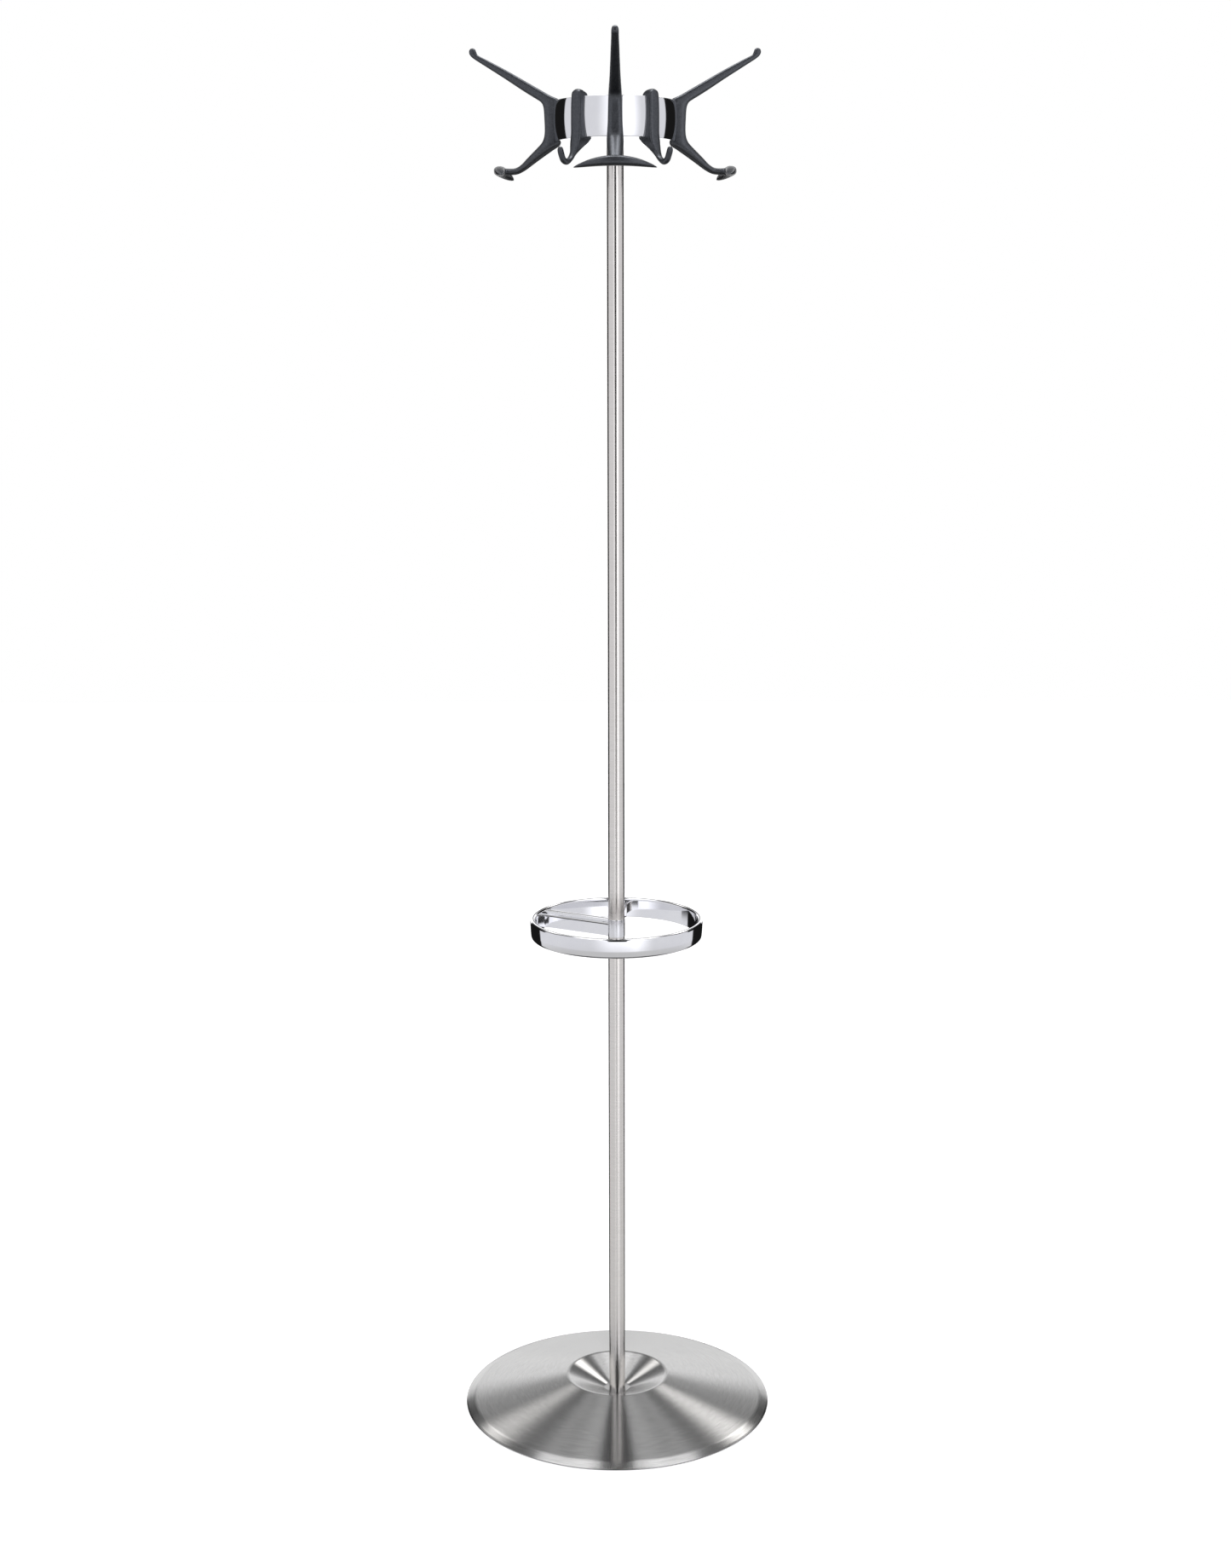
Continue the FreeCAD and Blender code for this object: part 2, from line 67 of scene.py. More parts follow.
# ---------------------------------------------------------------- node graphs
class Graph:
    """A small helper that adds nodes to a node tree and returns their output sockets."""

    def __init__(self, tree):
        self.tree = tree
        tree.nodes.clear()

    def node(self, kind, **settings):
        made = self.tree.nodes.new(kind)
        for name, value in settings.items():
            setattr(made, name, value)
        return made

    def feed(self, socket, value):
        if isinstance(value, bpy.types.NodeSocket):
            self.tree.links.new(value, socket)
        else:
            socket.default_value = value

    def math(self, operation, *values):
        made = self.node("ShaderNodeMath", operation=operation)
        for socket, value in zip(made.inputs, values):
            self.feed(socket, value)
        return made.outputs[0]

    def ramp(self, value, low, high, to_low=0.0, to_high=1.0):
        made = self.node("ShaderNodeMapRange", interpolation_type="SMOOTHSTEP")
        for socket, number in zip(made.inputs, (value, low, high, to_low, to_high)):
            self.feed(socket, number)
        return made.outputs[0]

    def band(self, value, low, high, soft):
        """1 between low and high, and 0 outside, with edges as wide as soft."""
        rise = self.ramp(value, low - soft / 2, low + soft / 2)
        fall = self.ramp(value, high - soft / 2, high + soft / 2, 1.0, 0.0)
        return self.math("MULTIPLY", rise, fall)

    def mix(self, factor, first, second):
        made = self.node("ShaderNodeMix", data_type="RGBA")
        colours = [s for s in made.inputs if s.type == "RGBA"]
        self.feed(made.inputs[0], factor)
        self.feed(colours[0], first)
        self.feed(colours[1], second)
        return [s for s in made.outputs if s.type == "RGBA"][0]

    def point(self, x, y, z):
        made = self.node("ShaderNodeCombineXYZ")
        for socket, value in zip(made.inputs, (x, y, z)):
            self.feed(socket, value)
        return made.outputs[0]

    def split(self, vector):
        made = self.node("ShaderNodeSeparateXYZ")
        self.feed(made.inputs[0], vector)
        return made.outputs

    def noise(self, vector, scale, detail=2.0, roughness=0.5):
        made = self.node("ShaderNodeTexNoise")
        self.feed(made.inputs["Vector"], vector)
        made.inputs["Scale"].default_value = scale
        made.inputs["Detail"].default_value = detail
        made.inputs["Roughness"].default_value = roughness
        return made.outputs[0]


def grey(level, tint=(1.0, 1.0, 1.0)):
    return (level * tint[0], level * tint[1], level * tint[2], 1.0)


# ---------------------------------------------------------------- studio
COOL = (0.955, 0.962, 1.0)
WARM = (1.0, 0.985, 0.96)
WHITE = (1.0, 1.0, 1.0, 1.0)
OVERHEAD_PLACE = Vector((0, -0.06, 2.45))
OVERHEAD_TARGET = Vector((0, -0.10, 1.6))
OVERHEAD_SIZE = 0.5
OVERHEAD_WATTS = 3.5
FLOOR_HALF = 6.0
FLOOR_DROP = 0.0003


def add_studio_world():
    """The light tent, painted by direction, white to the camera itself.

    Azimuth runs from 0, in front of the object, to 180, behind it, on both sides alike.
    Elevation 90 is straight up. A range that passes 0, 90 or 180 has no edge there.
    """
    world = bpy.data.worlds.new("studio")
    world.use_nodes = True
    bpy.context.scene.world = world
    graph = Graph(world.node_tree)
    x, y, z = graph.split(graph.node("ShaderNodeTexCoord").outputs["Generated"])
    from_back = graph.math("DEGREES", graph.math("ARCTAN2", x, y))
    azimuth = graph.math("SUBTRACT", 180.0, graph.math("ABSOLUTE", from_back))
    elevation = graph.math("DEGREES", graph.math("ARCSINE", z))

    def region(azimuths, elevations, soft=4.0):
        across = graph.band(azimuth, *azimuths, soft)
        return graph.math("MULTIPLY", across, graph.band(elevation, *elevations, soft))

    def both(first, second):
        return graph.math("MULTIPLY", first, second)

    all_round = (-20, 200)
    right = graph.ramp(x, -0.01, 0.01)
    left = graph.math("SUBTRACT", 1.0, right)
    front_glow = region((-20, 20), (-24, 75), 34.0)
    right_glow = both(region((14, 38), (-24, 75), 30.0), graph.ramp(x, 0.0, 0.1))
    high_back = region((95, 200), (24, 60), 6.0)
    ceiling = region(all_round, (61, 120), 4.0)
    ceiling_corner = region((143, 160), (54, 66), 5.0)
    right_panel = both(region((141, 157), (37, 46.5), 8.0), right)
    left_panel = both(region((141, 157), (36.5, 46), 8.0), left)
    gap_width = graph.math("MULTIPLY_ADD", elevation, 0.0018, -0.055)
    gap_share = graph.math("DIVIDE", graph.math("ABSOLUTE", x), gap_width)
    back_gap = both(graph.band(gap_share, -1, 1, 0.2), region((150, 200), (36, 88), 3.0))
    back_skirt = region((163, 200), (15, 33), 6.0)
    ground = region(all_round, (-120, -22), 8.0)
    ground_below = region(all_round, (-120, -52), 14.0)
    front_slit = both(graph.band(x, -0.19, 0.23, 0.03), region((-20, 90), (-13, 120), 2.0))
    backdrop = region((152, 200), (-9, 25), 6.0)
    flag_tops = region((108, 163), (14, 28), 4.0)
    flags = region((108, 152), (-14, 27), 3.0)
    back_ground = region((124, 200), (-36, -10), 3.0)

    light = grey(0.80, COOL)
    for mask, level in (
        (front_glow, grey(1.35, COOL)),
        (right_glow, grey(1.60, COOL)),
        (high_back, grey(0.23)),
        (ceiling, grey(1.95)),
        (ceiling_corner, grey(1.10)),
        (right_panel, grey(5.6, WARM)),
        (left_panel, grey(3.5, WARM)),
        (back_gap, grey(0.01)),
        (back_skirt, grey(0.80)),
        (ground, grey(0.60)),
        (ground_below, grey(0.08)),
        (front_slit, grey(0.03)),
        (backdrop, grey(1.35)),
        (flag_tops, grey(0.32)),
        (flags, grey(0.01)),
        (back_ground, grey(0.01)),
    ):
        light = graph.mix(mask, light, level)
    seen = graph.node("ShaderNodeLightPath").outputs["Is Camera Ray"]
    background = graph.node("ShaderNodeBackground")
    graph.feed(background.inputs["Color"], graph.mix(seen, light, WHITE))
    output = graph.node("ShaderNodeOutputWorld")
    graph.feed(output.inputs["Surface"], background.outputs[0])


def add_overhead_light(castings):
    """A soft lamp above the head, which lights only the hook castings."""
    data = bpy.data.lights.new("overhead", "AREA")
    data.shape = "DISK"
    data.size = OVERHEAD_SIZE
    data.energy = OVERHEAD_WATTS
    light = bpy.data.objects.new("overhead", data)
    bpy.context.scene.collection.objects.link(light)
    light.location = OVERHEAD_PLACE
    light.rotation_euler = (OVERHEAD_TARGET - OVERHEAD_PLACE).to_track_quat("-Z", "Y").to_euler()
    light.visible_camera = False
    lit = bpy.data.collections.new("castings")
    for piece in castings:
        lit.objects.link(piece)
    light.light_linking.receiver_collection = lit


def add_floor():
    """A plain pale floor that neither shows in the metal nor lights it."""
    mesh = bpy.data.meshes.new("floor")
    corners = [(-FLOOR_HALF, -FLOOR_HALF, 0), (FLOOR_HALF, -FLOOR_HALF, 0),
               (FLOOR_HALF, FLOOR_HALF, 0), (-FLOOR_HALF, FLOOR_HALF, 0)]
    mesh.from_pydata(corners, [], [(0, 1, 2, 3)])
    floor = bpy.data.objects.new("floor", mesh)
    bpy.context.scene.collection.objects.link(floor)
    floor.location.z = -FLOOR_DROP
    floor.visible_glossy = False
    floor.visible_diffuse = False
    material = bpy.data.materials.new("floor")
    material.use_nodes = True
    graph = Graph(material.node_tree)
    shader = graph.node("ShaderNodeBsdfPrincipled")
    shader.inputs["Base Color"].default_value = (0.9, 0.9, 0.9, 1)
    shader.inputs["Roughness"].default_value = 0.9
    shader.inputs["Specular IOR Level"].default_value = 0.0
    shader.inputs["Emission Color"].default_value = WHITE
    shader.inputs["Emission Strength"].default_value = 0.55
    output = graph.node("ShaderNodeOutputMaterial")
    graph.feed(output.inputs["Surface"], shader.outputs[0])
    mesh.materials.append(material)


# ---------------------------------------------------------------- materials
def surface(name, metallic, spread=0.0):
    """A new material with its graph and shader; spread is how far grooves smear its gloss."""
    material = bpy.data.materials.new(name)
    material.use_nodes = True
    graph = Graph(material.node_tree)
    shader = graph.node("ShaderNodeBsdfPrincipled")
    shader.inputs["Metallic"].default_value = metallic
    if spread:
        shader.inputs["Anisotropic"].default_value = spread
        shader.inputs["Anisotropic Rotation"].default_value = 0.25
        tangent = graph.node("ShaderNodeTangent", direction_type="RADIAL", axis="Z")
        graph.feed(shader.inputs["Tangent"], tangent.outputs[0])
    output = graph.node("ShaderNodeOutputMaterial")
    graph.feed(output.inputs["Surface"], shader.outputs[0])
    return material, graph, shader


def finish_surface(graph, shader, grain, colours, roughness, bump):
    """Lets grain, from 0 to 1, vary the colour and the roughness, and raise a bump bump metres high."""
    dark, light = [(*colour, 1) for colour in colours]
    graph.feed(shader.inputs["Base Color"], graph.mix(grain, dark, light))
    graph.feed(shader.inputs["Roughness"], graph.ramp(grain, 0.0, 1.0, *roughness))
    relief = graph.node("ShaderNodeBump")
    relief.inputs["Strength"].default_value = 1.0
    relief.inputs["Distance"].default_value = bump
    graph.feed(relief.inputs["Height"], grain)
    graph.feed(shader.inputs["Normal"], relief.outputs[0])


def object_point(graph):
    return graph.node("ShaderNodeTexCoord").outputs["Object"]


def blended(graph, first, second, share):
    """First and second added up, where second has a share of the whole."""
    rest = graph.math("MULTIPLY", first, 1.0 - share)
    return graph.math("ADD", rest, graph.math("MULTIPLY", second, share))


def spun_steel():
    """Circular brush lines, long along the turn and fine across it, over a faint cloudiness."""
    material, graph, shader = surface("spun_steel", 1.0, spread=1.0)
    place = object_point(graph)
    x, y, z = graph.split(place)
    squares = graph.math("ADD", graph.math("POWER", x, 2.0), graph.math("POWER", y, 2.0))
    across = graph.math("MULTIPLY", graph.math("SQRT", squares), 1000.0)
    outward = graph.node("ShaderNodeVectorMath", operation="NORMALIZE")
    graph.feed(outward.inputs[0], graph.point(x, y, 0.0))
    out_x, out_y, out_z = graph.split(outward.outputs[0])
    turn_x = graph.math("MULTIPLY", out_x, 9.0)
    turn_y = graph.math("MULTIPLY", out_y, 9.0)
    lines = graph.noise(graph.point(turn_x, turn_y, across), 1.0, detail=3.0, roughness=0.6)
    cloud = graph.noise(place, 14.0, detail=3.0)
    grain = graph.ramp(blended(graph, lines, cloud, 0.2), 0.25, 0.75)
    colours = ((0.395, 0.393, 0.392), (0.48, 0.478, 0.477))
    finish_surface(graph, shader, grain, colours, (0.195, 0.205), 0.000002)
    return material


def satin_tube():
    """Fine crosswise satin grain with long faint streaks down the tube."""
    material, graph, shader = surface("satin_tube", 1.0, spread=0.95)
    place = object_point(graph)

    def stretched(per_metre_across, per_metre_down):
        scale = graph.node("ShaderNodeVectorMath", operation="MULTIPLY")
        graph.feed(scale.inputs[0], place)
        graph.feed(scale.inputs[1], (per_metre_across, per_metre_across, per_metre_down))
        return scale.outputs[0]

    rings = graph.noise(stretched(60.0, 900.0), 1.0)
    streaks = graph.noise(stretched(700.0, 5.0), 1.0)
    grain = graph.ramp(blended(graph, rings, streaks, 0.4), 0.3, 0.7)
    colours = ((0.76, 0.73, 0.70), (0.82, 0.79, 0.76))
    finish_surface(graph, shader, grain, colours, (0.165, 0.185), 0.0000004)
    return material


def chrome(name, spread, roughness):
    """Chrome plate with a breath of polishing haze; spread turns it into lathe-satined chrome."""
    material, graph, shader = surface(name, 1.0, spread)
    haze = graph.ramp(graph.noise(object_point(graph), 22.0, detail=4.0, roughness=0.6), 0.35, 0.7)
    colours = ((0.83, 0.83, 0.855), (0.87, 0.87, 0.885))
    finish_surface(graph, shader, haze, colours, roughness, 0.000004)
    return material


def graphite_lacquer():
    """Dark metallic lacquer: fine flake over orange peel."""
    material, graph, shader = surface("graphite_lacquer", 0.85)
    place = object_point(graph)
    flake = graph.noise(place, 1500.0, detail=2.0, roughness=0.7)
    peel = graph.noise(place, 420.0)
    grain = graph.ramp(blended(graph, flake, peel, 0.35), 0.3, 0.7)
    colours = ((0.064, 0.068, 0.077), (0.108, 0.113, 0.124))
    finish_surface(graph, shader, grain, colours, (0.31, 0.40), 0.000015)
    return material


def rough_cast(name, metallic, colours, roughness, size, bump):
    """A cast or moulded surface with size grains to a metre."""
    material, graph, shader = surface(name, metallic)
    place = object_point(graph)
    grain = graph.ramp(graph.noise(place, size, detail=4.0, roughness=0.6), 0.3, 0.7)
    finish_surface(graph, shader, grain, colours, roughness, bump)
    return material


MATERIALS = {
    "spun_steel": spun_steel(),
    "satin_tube": satin_tube(),
    "bright_chrome": chrome("bright_chrome", 0.0, (0.045, 0.085)),
    "satin_chrome": chrome("satin_chrome", 0.9, (0.17, 0.21)),
    "graphite_lacquer": graphite_lacquer(),
    "cast_iron_paint": rough_cast(
        "cast_iron_paint", 0.0, ((0.035, 0.035, 0.04), (0.07, 0.07, 0.075)), (0.5, 0.7), 260, 0.0003),
    "black_rubber": rough_cast(
        "black_rubber", 0.0, ((0.015, 0.015, 0.015), (0.03, 0.03, 0.03)), (0.6, 0.8), 700, 0.0001),
    "zinc_steel": rough_cast(
        "zinc_steel", 1.0, ((0.48, 0.49, 0.51), (0.62, 0.63, 0.65)), (0.28, 0.42), 180, 0.00002),
    "cast_aluminium": rough_cast(
        "cast_aluminium", 1.0, ((0.52, 0.52, 0.53), (0.66, 0.66, 0.67)), (0.38, 0.52), 600, 0.0001),
}


# ---------------------------------------------------------------- mesh helpers
def add_piece(name, mesh, slot, nodes, sharp_degrees=35, finish=None):
    """A piece with its slot's material, or a finish of its own, which stands for CAD nodes."""
    mesh.polygons.foreach_set("use_smooth", [True] * len(mesh.polygons))
    if sharp_degrees:
        mesh.set_sharp_from_angle(angle=math.radians(sharp_degrees))
    mesh.materials.clear()
    mesh.materials.append(MATERIALS[finish or slot])
    piece = bpy.data.objects.new(name, mesh)
    bpy.context.scene.collection.objects.link(piece)
    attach(piece, "root")
    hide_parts(*nodes)
    return piece


def rounded(corners, step_degrees=4.0):
    """Points in metres along (r, z, corner radius) corners in millimetres, with arcs at the corners."""
    points = [Vector((r, z)) for r, z, _ in corners]
    line = [points[0]]
    for i in range(1, len(points) - 1):
        back = (points[i - 1] - points[i]).normalized()
        ahead = (points[i + 1] - points[i]).normalized()
        half = math.acos(max(-1.0, min(1.0, back.dot(ahead)))) / 2
        radius = corners[i][2]
        if radius <= 0:
            line.append(points[i])
            continue
        middle = points[i] + (back + ahead).normalized() * (radius / math.sin(half))
        first = points[i] + back * (radius / math.tan(half)) - middle
        last = points[i] + ahead * (radius / math.tan(half)) - middle
        sweep = first.angle_signed(last)
        count = max(3, math.ceil(abs(math.degrees(sweep)) / step_degrees))
        for k in range(count + 1):
            line.append(middle + Matrix.Rotation(-sweep * k / count, 2) @ first)
    line.append(points[-1])
    return [point * MM for point in line]


def dense(line, longest):
    """The same line with its long runs divided, so that no run is over longest metres."""
    result = [line[0]]
    for start, end in zip(line, line[1:]):
        count = max(1, math.ceil((end - start).length / longest))
        result += [start.lerp(end, k / count) for k in range(1, count + 1)]
    return result


def revolved(name, line, turns=360):
    """A closed half-section, as (r, z) points, turned round Z."""
    mesh = bpy.data.meshes.new(name)
    vertices, faces = [], []
    count = len(line)
    for turn in range(turns):
        angle = 2 * math.pi * turn / turns
        for r, z in line:
            vertices.append((r * math.sin(angle), -r * math.cos(angle), z))
    for turn in range(turns):
        here, there = turn * count, (turn + 1) % turns * count
        for k in range(count):
            after = (k + 1) % count
            faces.append((here + k, there + k, there + after, here + after))
    mesh.from_pydata(vertices, [], faces)
    tidy(mesh)
    return mesh


def tidy(mesh):
    """Welds what touches and turns every face outwards."""
    work = bmesh.new()
    work.from_mesh(mesh)
    bmesh.ops.remove_doubles(work, verts=work.verts, dist=1e-7)
    bmesh.ops.recalc_face_normals(work, faces=work.faces)
    work.to_mesh(mesh)
    work.free()


def lofted(name, rings):
    """A closed skin over rings of points, with flat ends."""
    mesh = bpy.data.meshes.new(name)
    count = len(rings[0])
    vertices = [tuple(p) for ring in rings for p in ring]
    faces = [tuple(range(count)), tuple(range((len(rings) - 1) * count, len(rings) * count))]
    for i in range(len(rings) - 1):
        for k in range(count):
            after = (k + 1) % count
            faces.append((i * count + k, i * count + after, (i + 1) * count + after, (i + 1) * count + k))
    mesh.from_pydata(vertices, [], faces)
    tidy(mesh)
    return mesh


def through(rows, steps):
    """Catmull-Rom rows between rows of numbers, steps to a gap."""
    result = []
    last = len(rows) - 1
    for i in range(last):
        a, b, c, d = rows[max(0, i - 1)], rows[i], rows[i + 1], rows[min(last, i + 2)]
        for k in range(steps):
            t = k / steps
            result.append([
                0.5 * (2 * q + (r - p) * t + (2 * p - 5 * q + 4 * r - s) * t * t
                       + (3 * q - p - 3 * r + s) * t ** 3)
                for p, q, r, s in zip(a, b, c, d)])
    result.append(list(rows[-1]))
    return result


def with_modifiers(mesh, settings):
    """The mesh after a list of (kind, {setting: value}) modifiers."""
    carrier = bpy.data.objects.new("carrier", mesh)
    bpy.context.scene.collection.objects.link(carrier)
    for kind, values in settings:
        modifier = carrier.modifiers.new(kind, kind)
        for name, value in values.items():
            setattr(modifier, name, value)
    graph = bpy.context.evaluated_depsgraph_get()
    result = bpy.data.meshes.new_from_object(carrier.evaluated_get(graph))
    bpy.data.objects.remove(carrier)
    return result


def turned(mesh, name, azimuth):
    """A copy of a mesh made along +X, turned to an azimuth from the front."""
    copy = mesh.copy()
    copy.name = name
    copy.transform(Matrix.Rotation(math.radians(azimuth - 90.0), 4, "Z"))
    return copy


# ---------------------------------------------------------------- base
COVER_SHEET = 1.2
COVER_TURNS = 360


def cover_corners(drop):
    """The cover's half-section, as (r, z, corner radius), drop millimetres under its outer face."""
    return [
        (5.6, 14.0 - drop, 0),
        (16.0, 14.0 - drop, 7.0),
        (65.0, 34.6 - drop, 9.0),
        (188.5, 6.7 - drop, 22.0),
        (197.5 - 0.4 * drop, 2.6 - 0.6 * drop, 4.0),
    ]


def build_base():
    """The pressed cover, whose edge is rolled a little under itself."""
    upper = rounded(cover_corners(0) + [(199.6, 1.4, 0.5), (199.4, 0.3, 0)], step_degrees=1.0)
    lower = rounded(cover_corners(COVER_SHEET) + [(198.2, 0.3, 0)], step_degrees=2.0)
    line = dense(upper, 0.004) + dense(lower[::-1], 0.012)
    mesh = revolved("base_shell", line, COVER_TURNS)
    add_piece("base_shell", mesh, "spun_steel", ["base_cover"])


# ---------------------------------------------------------------- umbrella ring
RING_OUTER_R = 110.0
RING_INNER_R = 103.5
RING_SKIRT = 0.6
HUB_RADIUS = 10.8
HUB_BORE = 5.2
HUB_LENGTH = 23.2
SPOKE_CROWN = 5.0
SPOKE_WEB = 2.6
SPOKE_NECK = 1.75 * SPOKE_CROWN
SPOKE_AZIMUTHS = {"left_spoke": -119.0, "back_spoke": 175.0}


def ring_section(low, high):
    middle = RING_INNER_R + 2.0
    return rounded([
        (middle, high, 0),
        (RING_OUTER_R, high, 2.8),
        (RING_OUTER_R - 0.8, low + 9.0, 40.0),
        (RING_OUTER_R - 1.6, low, 3.6),
        (RING_INNER_R, low, 0.6),
        (RING_INNER_R, high, 3.0),
        (middle, high, 0),
    ], step_degrees=6.0)[:-1]


def hub_section(low, high):
    middle = HUB_BORE + 2.0
    return rounded([
        (middle, high, 0),
        (HUB_RADIUS, high, 0.5),
        (HUB_RADIUS, low, 0.5),
        (HUB_BORE, low, 0),
        (HUB_BORE, high, 0),
        (middle, high, 0),
    ], step_degrees=15.0)[:-1]


def spoke_mesh(low, top):
    """A round-topped rail on a thin web, which flares where it meets the hub and the ring."""
    rings = []
    for reach, flare in (
        (HUB_RADIUS - 1.5, 1.5),
        (HUB_RADIUS + 4, 1.0),
        (RING_INNER_R - 7, 1.0),
        (RING_INNER_R - 2, 1.7),
        (RING_INNER_R + 1.5, 1.8),
    ):
        web = SPOKE_WEB * flare
        ring = [(-web, low), (web, low), (web, top - SPOKE_NECK)]
        for angle in range(-30, 211, 10):
            turn = math.radians(angle)
            ring.append((SPOKE_CROWN * math.cos(turn), top - SPOKE_CROWN * (1 - math.sin(turn))))
        ring.append((-web, top - SPOKE_NECK))
        rings.append([Vector((reach, y, z)) * MM for y, z in ring])
    return lofted("spoke", rings)


def build_ring():
    """The cast ring: its band, the hub that the tubes clamp, and two spokes."""
    box_low, box_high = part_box("umbrella_ring")
    hub_low, high = box_low[2] / MM, box_high[2] / MM
    low = hub_low - RING_SKIRT
    band = revolved("ring_band", ring_section(low, high))
    add_piece("ring_band", band, "bright_chrome", ["umbrella_ring"], sharp_degrees=0)
    hub_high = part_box("lower_tube")[1][2] / MM + HUB_LENGTH
    hub = revolved("ring_hub", hub_section(hub_low, hub_high), 96)
    add_piece("ring_hub", hub, "bright_chrome", ["umbrella_ring"], finish="satin_chrome")
    spoke = spoke_mesh(low + 0.4, hub_high - 0.4)
    for name, azimuth in SPOKE_AZIMUTHS.items():
        add_piece(name, turned(spoke, name, azimuth), "bright_chrome", ["umbrella_ring"], sharp_degrees=25)


# ---------------------------------------------------------------- drum
DRUM_RADII = (71.1, 73.8, 72.4)
DRUM_MIDDLE = 26.5
DRUM_BORE = 68.0
DRUM_EDGE = 0.01
LID_SEAT_R = 70.4
LID_SEAT_DEPTH = 8.0
PLATE_HOLE_R = 10.6
PLATE_THICKNESS = 3.6


def drum_heights():
    low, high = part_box("drum_shell")
    return low[2] / MM, high[2] / MM


def drum_radius(z):
    """The barrel's outer radius in millimetres, z millimetres above the drum's bottom."""
    bottom, top = drum_heights()
    height = top - bottom
    low, middle, high = DRUM_RADII
    return (low * (z - DRUM_MIDDLE) * (z - height) / (DRUM_MIDDLE * height)
            + middle * z * (z - height) / (DRUM_MIDDLE * (DRUM_MIDDLE - height))
            + high * z * (z - DRUM_MIDDLE) / (height * (height - DRUM_MIDDLE)))


def barrel(name, grow, stretch, steps=24):
    """A solid barrel, grow millimetres larger all round, stretch millimetres longer at each end."""
    low, high = drum_heights()
    heights = [low + (high - low) * k / steps for k in range(steps + 1)]
    line = [(0.0, low - stretch)]
    line += [(drum_radius(z - low) + grow, z) for z in [low - stretch] + heights + [high + stretch]]
    line += [(0.0, high + stretch)]
    return revolved(name, [Vector(p) * MM for p in line])


def build_drum(steps=16):
    """The polished barrel and the plate that closes it underneath."""
    low, high = drum_heights()
    run = high - low - 2 * DRUM_EDGE
    heights = [low + DRUM_EDGE + run * k / steps for k in range(steps + 1)]
    outside = [[drum_radius(z - low), z, 0] for z in heights]
    outside[0][2] = 0.4
    outside[-1][2] = 0.8
    seat_z = high - LID_SEAT_DEPTH
    inside = [(LID_SEAT_R, high, 0), (LID_SEAT_R, seat_z, 0), (DRUM_BORE, seat_z, 0)]
    section = rounded([(DRUM_BORE, low, 0)] + outside + inside, step_degrees=15.0)
    mesh = revolved("drum_barrel", section)
    add_piece("drum_barrel", mesh, "bright_chrome", ["drum_shell"], sharp_degrees=40)
    plate_top = low + PLATE_THICKNESS
    plate = rounded([
        (PLATE_HOLE_R, low, 0),
        (DRUM_BORE, low, 0),
        (DRUM_BORE, plate_top, 0),
        (PLATE_HOLE_R, plate_top, 0),
    ])
    mesh = revolved("drum_underside", plate)
    add_piece("drum_underside", mesh, "bright_chrome", ["drum_bottom_plate"])


# ---------------------------------------------------------------- hooks
LARGE_HOOKS = {"front_hook": 0.0, "left_hook": -95.0, "right_hook": 95.0}
SMALL_HOOKS = {"small_left_hook": -35.5, "small_right_hook": 35.5}
SEAT_GAP = 0.15
LARGE_VOXEL = 0.0008
SMALL_VOXEL = 0.0005
STEPS_BETWEEN_STATIONS = 6
SADDLE_HALF_LENGTH = 48.4
SADDLE_CENTRE_R = 138.2
SADDLE_SWEEP = 8.0
SADDLE_TOP_Z, SADDLE_BOTTOM_Z = -27.0, -38.7
SADDLE_TOP_DROOP, SADDLE_BOTTOM_DROOP = 12.2, 2.2
SADDLE_DEPTH = 13.4
SADDLE_STATIONS = 97

# Stations from a limb's free end on, in millimetres, with z above the drum's bottom: outer r and z,
# inner r and z, width, and the share of the second outline.
LARGE_LIMB = [
    (171.4, 108.9, 169.3, 109.0, 2.4, 0.0),
    (173.4, 107.3, 167.0, 107.7, 6.4, 0.0),
    (174.2, 104.1, 165.6, 104.5, 8.4, 0.0),
    (172.5, 100.1, 164.6, 101.9, 8.7, 0.0),
    (167.6, 96.1, 162.2, 99.9, 8.8, 0.0),
    (154.5, 87.9, 150.5, 94.1, 9.6, 0.0),
    (132.0, 73.9, 127.2, 81.9, 11.0, 0.0),
    (110.0, 59.7, 104.2, 69.0, 12.6, 0.0),
    (97.5, 52.1, 89.6, 60.8, 14.0, 0.0),
    (89.2, 46.9, 76.6, 53.5, 15.2, 0.0),
    (86.1, 42.3, 67.0, 49.1, 15.8, 0.0),
    (85.0, 36.9, 65.0, 42.5, 16.2, 0.0),
    (84.4, 27.5, 66.0, 27.5, 16.8, 0.0),
    (84.0, 15.5, 66.0, 15.5, 17.4, 0.0),
    (84.6, 6.9, 65.0, 3.1, 18.6, 0.0),
    (87.2, 0.5, 66.0, -3.1, 19.6, 0.4),
    (91.4, -4.3, 74.0, -8.5, 20.0, 0.8),
    (98.0, -10.7, 88.0, -17.9, 19.2, 1.0),
    (105.6, -18.1, 98.6, -25.3, 17.2, 1.0),
    (112.6, -25.1, 107.6, -31.6, 15.0, 1.0),
    (119.6, -29.1, 116.6, -36.1, 13.6, 1.0),
    (127.0, -29.7, 126.0, -37.3, 14.6, 1.0),
    (135.0, -29.1, 135.0, -37.7, 16.0, 1.0),
]
